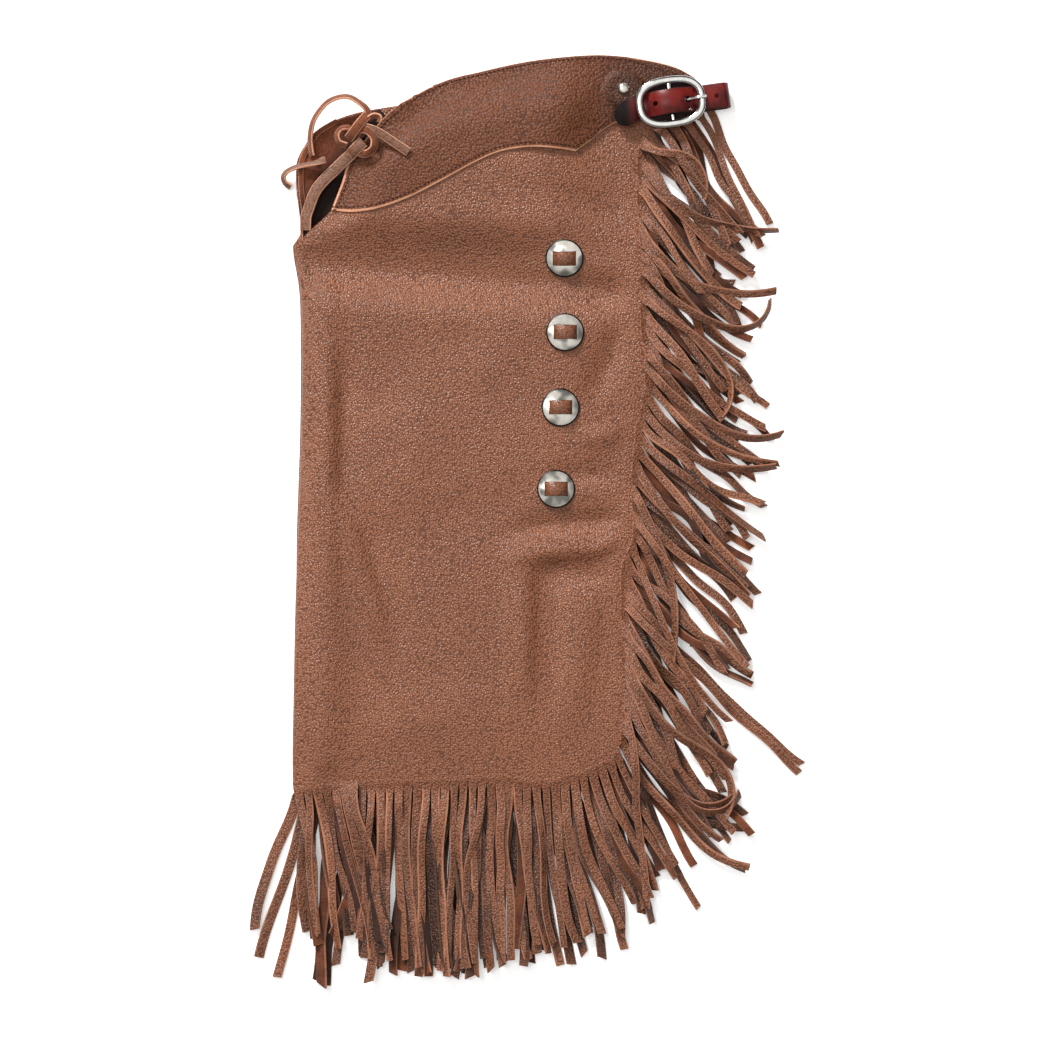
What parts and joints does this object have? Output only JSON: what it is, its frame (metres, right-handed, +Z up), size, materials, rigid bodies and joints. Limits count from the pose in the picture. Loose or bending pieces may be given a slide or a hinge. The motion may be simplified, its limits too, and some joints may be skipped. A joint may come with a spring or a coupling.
{
  "type": "leather chaps",
  "caption": "Short fringed leather chaps folded in half and laid flat, with a shaped yoke, slotted conchos, a buckled back strap and a tied front lace.",
  "frame": {"origin": "centre of the flat underside, on the surface it lies on", "axes": "+Y up the leg from the hem to the waist, +X towards the side fringe, +Z up from the surface"},
  "size_m": [0.5501, 0.9342, 0.031],
  "materials": {
    "grain": "pebbled brown grain side",
    "flesh": "rust-brown flesh side",
    "belt": "glossy burgundy strap leather",
    "lace": "oiled latigo lace",
    "nickel": "nickel-plated conchos and rivet",
    "chrome": "polished buckle"
  },
  "bodies": {
    "root": {"belt_strap": "belt", "buckle_frame": "chrome", "buckle_loop": "belt", "buckle_tongue": "chrome", "concho_1": "nickel", "concho_2": "nickel", "concho_3": "nickel", "concho_4": "nickel", "hem_fringe_top": "grain", "hem_fringe_under": "flesh", "lace_bow_left": "lace", "lace_bow_right": "lace", "lace_knot": "lace", "lace_loop": "lace", "lace_strap": "lace", "lace_tail_left": "lace", "lace_tail_right": "lace", "rivet": "nickel", "side_fringe_top": "grain", "side_fringe_under": "flesh", "tab_1": "grain", "tab_2": "grain", "tab_3": "grain", "tab_4": "grain", "top_leg": "grain", "top_yoke": "grain", "under_leg": "flesh", "under_yoke": "flesh"}
  },
  "joints": []
}
